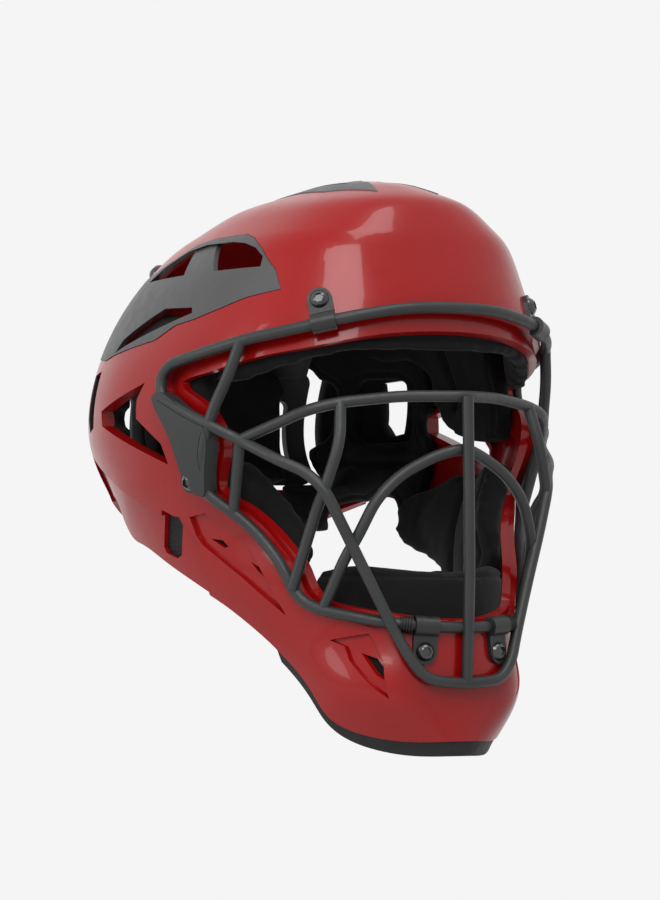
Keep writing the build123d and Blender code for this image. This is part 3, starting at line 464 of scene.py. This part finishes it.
def sew(piece, seam_depth, upward, channels, tucks):
    """Draw the cover in along its edge seam, its channels on the head side, and its level tucks outside."""
    bm = bmesh.new()
    bm.from_mesh(piece.data)
    bm.normal_update()
    outside = bm.copy()
    inner = [f for f in outside.faces if f.normal.dot(away(f.calc_center_median(), upward)) < BACKING]
    bmesh.ops.delete(outside, geom=inner, context="FACES")
    backing = BVHTree.FromBMesh(outside)
    outside.free()
    moves = []
    for vertex in bm.verts:
        facing = vertex.normal.dot(away(vertex.co, upward))
        sinks = [0.0]
        if facing < OUTSIDE:
            _, _, _, depth = backing.find_nearest(vertex.co)
            sinks.append(dip(depth - seam_depth, SEAM_HALF, SEAM_SINK))
        if facing < HEAD_SIDE:
            sinks += [dip(line_distance(vertex.co, *line), CHANNEL_HALF, CHANNEL_SINK) for line in channels]
        if facing > OUTSIDE:
            sinks += [dip(vertex.co.z - height, SEAM_HALF, SEAM_SINK) for height in tucks]
        moves.append(vertex.normal * -max(sinks))
    for vertex, move in zip(bm.verts, moves):
        vertex.co += move
    bm.to_mesh(piece.data)
    bm.free()


def make_cushion(name, node, seam_depth, cap, upward=False, channels=(), tucks=(), lining=(),
                 stretch=(1.0, 1.0, 1.0)):
    """A sewn foam cushion in the place of a CAD pad, with the lining boxes that it goes on into."""
    bm = welded_copy(node)
    low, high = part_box(node)
    middle = Vector((0.0, (low[1] + high[1]) / 2, (low[2] + high[2]) / 2))
    bmesh.ops.translate(bm, vec=-middle, verts=bm.verts)
    bmesh.ops.scale(bm, vec=stretch, verts=bm.verts)
    bmesh.ops.translate(bm, vec=middle, verts=bm.verts)
    for corner, opposite in lining:
        add_lining(bm, corner, opposite, FOAM_LINING)
    piece = new_piece(name, bm, knit)
    remesh = piece.modifiers.new("remesh", "REMESH")
    remesh.mode = "VOXEL"
    remesh.voxel_size = VOXEL
    take_result(piece)
    swell(piece, cap, upward)
    for _ in range(SMOOTHING_ROUNDS):
        piece.modifiers.new("round", "SUBSURF")
        take_result(piece)
    sew(piece, seam_depth, upward, channels, tucks)
    piece.data.shade_smooth()
    return piece


def finish_pad(piece, node, body):
    """The calls that every pad shares."""
    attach(piece, body)
    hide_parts(node)


def across(piece, name):
    """The same piece on the wearer's other side."""
    bm = bmesh.new()
    bm.from_mesh(piece.data)
    bmesh.ops.scale(bm, vec=(-1.0, 1.0, 1.0), verts=bm.verts)
    bmesh.ops.reverse_faces(bm, faces=bm.faces)
    return new_piece(name, bm, piece.data.materials[0])


knit, tree, shader = principled("black_knit", KNIT, roughness=0.88, specular=0.15)
shader.inputs["Sheen Weight"].default_value = 0.06
shader.inputs["Sheen Roughness"].default_value = 0.5
tint(tree, noise(tree, cells=30.0), shader, KNIT_DARK, KNIT_LIGHT)
bump(tree, noise(tree, cells=1500.0, detail=5.0), shader, depth=0.0002, strength=0.6)

for name, seam_depth, cap, channel, lining in side_cushions:
    left = make_cushion(f"{name}_cushion_left", f"{name}_pad_left", seam_depth, cap, channels=[channel],
                        lining=lining)
    right = across(left, f"{name}_cushion_right")
    finish_pad(left, f"{name}_pad_left", "shell")
    finish_pad(right, f"{name}_pad_right", "shell")


# Rear felts: thin knitted felt glued to the shell's inner wall between each rear port and the window,
# where a thicker pad would close the view through the port.
FELT_THICK = 0.0012
FELT_LOW, FELT_HIGH = (0.045, 0.040, -0.009), (0.115, 0.122, 0.030)
bm = bmesh.new()
add_lining(bm, FELT_LOW, FELT_HIGH, FELT_THICK)
left = new_piece("rear_felt_left", bm, knit)
for piece in (left, across(left, "rear_felt_right")):
    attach(piece, "shell")


# Brow band: a long foam cushion that hangs past the lip into the face opening, fixed to the shell's
# inside. A tuck runs along its cover's outside near the lower edge.
BROW_SEAM, BROW_SWELL, BROW_TUCK = 0.006, 0.0015, 0.022
low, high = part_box("brow_pad")
brow = make_cushion("brow_cushion", "brow_pad", BROW_SEAM, BROW_SWELL, tucks=[low[2] + BROW_TUCK])
finish_pad(brow, "brow_pad", "shell")


# Chin cup: a foam cushion fixed inside the chin, which stands above the lip. A tuck runs along its
# cover's outside near the upper edge.
CHIN_SEAM, CHIN_SWELL, CHIN_TUCK = 0.0085, 0.0025, 0.006
low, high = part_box("chin_pad")
chin = make_cushion("chin_cushion", "chin_pad", CHIN_SEAM, CHIN_SWELL, tucks=[high[2] - CHIN_TUCK])
finish_pad(chin, "chin_pad", "shell")


# Crown pad: an oval foam cushion under the crown, fixed to the shell above it, so that it swells down
# towards the head.
CROWN_SEAM, CROWN_SWELL = 0.0075, 0.0025
crown = make_cushion("crown_cushion", "crown_pad", CROWN_SEAM, CROWN_SWELL, upward=True)
finish_pad(crown, "crown_pad", "shell")


# Rear panel's cushion: a thick foam pad on the panel's inside, a little wider and taller than its CAD
# solid. It moves with the panel.
PANEL_SEAM, PANEL_SWELL, PANEL_STRETCH = 0.013, 0.003, (1.06, 1.0, 1.16)
rear = make_cushion("panel_cushion", "rear_panel_pad", PANEL_SEAM, PANEL_SWELL, stretch=PANEL_STRETCH)
finish_pad(rear, "rear_panel_pad", "rear_panel")


# Strap ends behind the wing slots: flat black webbing with woven cross ribs, sewn flat against the
# shell's inside.
WEBBING, WEBBING_DARK, WEBBING_LIGHT = (0.012, 0.012, 0.013), (0.010, 0.010, 0.011), (0.015, 0.015, 0.016)
RIB_PITCH, RIB_HEIGHT, CUTS_PER_RIB = 0.0024, 0.0002, 4
FLAT_SIDE = 0.5
webbing, tree, shader = principled("black_webbing", WEBBING, roughness=0.8, specular=0.3)
tint(tree, noise(tree, cells=90.0), shader, WEBBING_DARK, WEBBING_LIGHT)
bump(tree, noise(tree, cells=2200.0, detail=4.0), shader, depth=0.0001, strength=0.6)
bm = welded_copy("wing_strap_left")
low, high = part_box("wing_strap_left")
cut_gap = RIB_PITCH / CUTS_PER_RIB
for cut in range(1, int((high[2] - low[2]) / cut_gap)):
    bmesh.ops.bisect_plane(bm, geom=[*bm.verts, *bm.edges, *bm.faces], dist=SNAP,
                           plane_co=(0.0, 0.0, low[2] + cut * cut_gap), plane_no=(0.0, 0.0, 1.0))
bm.normal_update()
for vertex in bm.verts:
    if abs(vertex.normal.x) > FLAT_SIDE:
        wave = math.cos(2 * math.pi * (vertex.co.z - low[2]) / RIB_PITCH)
        vertex.co.x -= math.copysign(RIB_HEIGHT * (1 - wave) / 2, vertex.normal.x)
left = new_piece("wing_webbing_left", bm, webbing)
right = across(left, "wing_webbing_right")
for side, piece in (("left", left), ("right", right)):
    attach(piece, "shell")
    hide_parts(f"wing_strap_{side}")


scene.view_settings.view_transform = "Standard"
